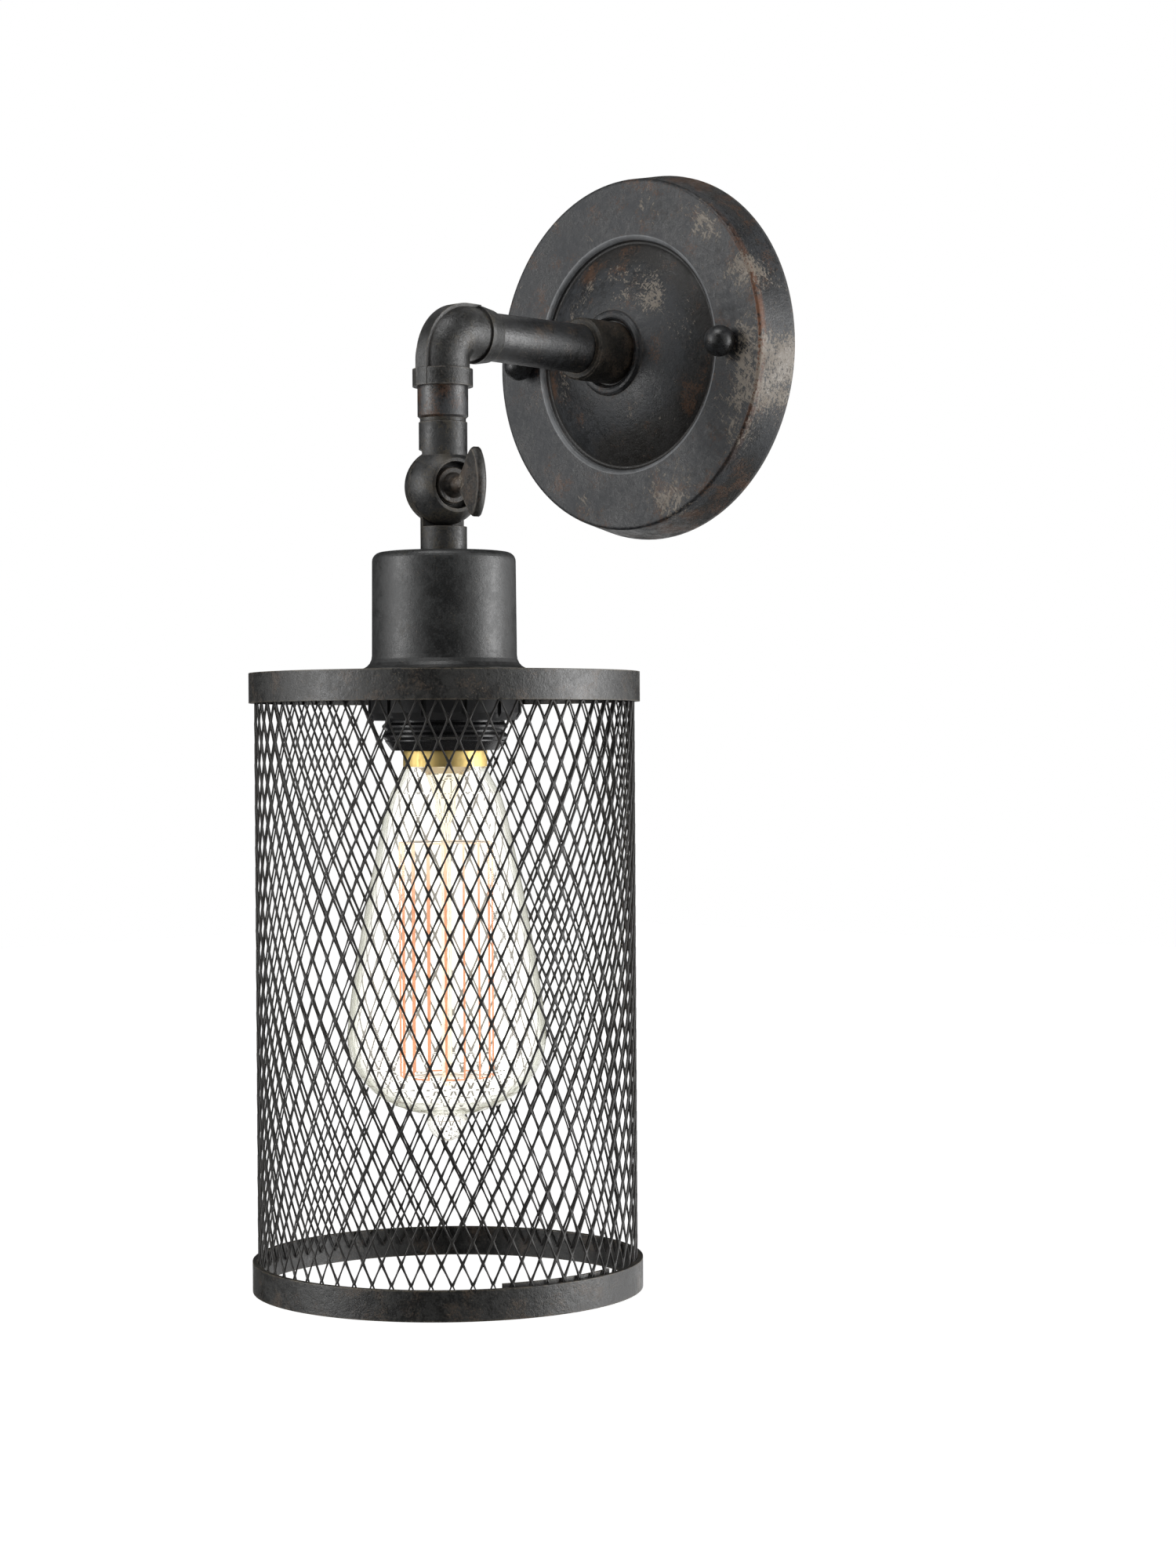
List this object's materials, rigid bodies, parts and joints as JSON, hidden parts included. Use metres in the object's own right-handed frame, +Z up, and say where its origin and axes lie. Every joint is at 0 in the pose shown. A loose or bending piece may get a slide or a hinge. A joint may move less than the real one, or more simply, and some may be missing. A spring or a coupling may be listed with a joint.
{
  "type": "cage wall light",
  "caption": "Pipe-style wall light with a ball swivel and a cylindrical wire-mesh cage around a pear-shaped lamp.",
  "frame": {"origin": "centre of the canopy's back face, on the wall plane, midway between the strap's two slots", "axes": "+Y into the wall, +Z up, +X to the right of someone who faces the light"},
  "size_m": [0.1206, 0.1587, 0.3556],
  "materials": {
    "canopy": "aged bronze, rubbed",
    "cap_nut": "aged bronze, satin",
    "coupling": "aged bronze, brown",
    "arm": "aged bronze, satin",
    "casting": "aged bronze, satin",
    "drop": "aged bronze, brown",
    "swivel": "aged bronze, satin",
    "thumb": "aged bronze, rubbed",
    "cup": "satin charcoal",
    "cage_disc": "aged bronze",
    "band": "aged bronze, brown",
    "mesh": "matt black",
    "ring": "matt black",
    "holder": "gloss black",
    "brass": "polished",
    "steel": "zinc plated",
    "earth_screw": "green",
    "envelope": "clear",
    "inner_glass": "clear",
    "support_wire": "drawn",
    "filament": "glowing",
    "insulator": "gloss"
  },
  "bodies": {
    "wall_arm": {"strap_rear": "steel", "strap_front": "steel", "strap_rivet": "brass", "mounting_studs": "steel", "stud_nuts": "steel", "ground_screw": "earth_screw", "backplate": "canopy", "cap_nuts": "cap_nut", "hub_nipple": "steel", "hub_nut": "steel", "hub_washer": "steel", "hub_coupling": "coupling", "arm_pipe": "arm", "elbow": "casting", "drop_pipe": "drop", "swivel_upper": "swivel", "screw_washer": "swivel"},
    "clamp_screw": {"thumb_screw": "thumb"},
    "shade": {"swivel_lower": "swivel", "stem_washer": "steel", "stem_nut": "steel", "socket_cup": "cup", "socket_bracket": "steel", "socket_body": "holder", "screw_shell": "brass", "centre_contact": "brass", "bracket_screws": "steel", "shade_ring": "ring", "cage_cap": "cage_disc", "top_band": "band", "mesh_front": "mesh", "mesh_back": "mesh", "bottom_band": "band", "splice_strip": "band"},
    "lamp": {"bulb_base": "brass", "bulb_insulator": "insulator", "bulb_contact": "steel", "bulb_glass": "envelope", "glass_stem": "inner_glass", "filament_supports": "support_wire", "filament": "filament"}
  },
  "joints": [
    {"name": "shade_tilt", "type": "hinge", "parent": "wall_arm", "child": "shade", "pos_m": [0, -0.09842, -0.0482], "axis": [-0.9588, 0.284, 0], "range_deg": [-8, 90]},
    {"name": "thumb_screw_turn", "type": "hinge", "parent": "wall_arm", "child": "clamp_screw", "pos_m": [0, -0.09842, -0.0482], "axis": [0.9588, -0.284, 0], "range_deg": [-360, 0]},
    {"name": "lamp_unscrew", "type": "slide", "parent": "shade", "child": "lamp", "axis": [0, 0, -1], "range_m": [0, 0.2]}
  ]
}
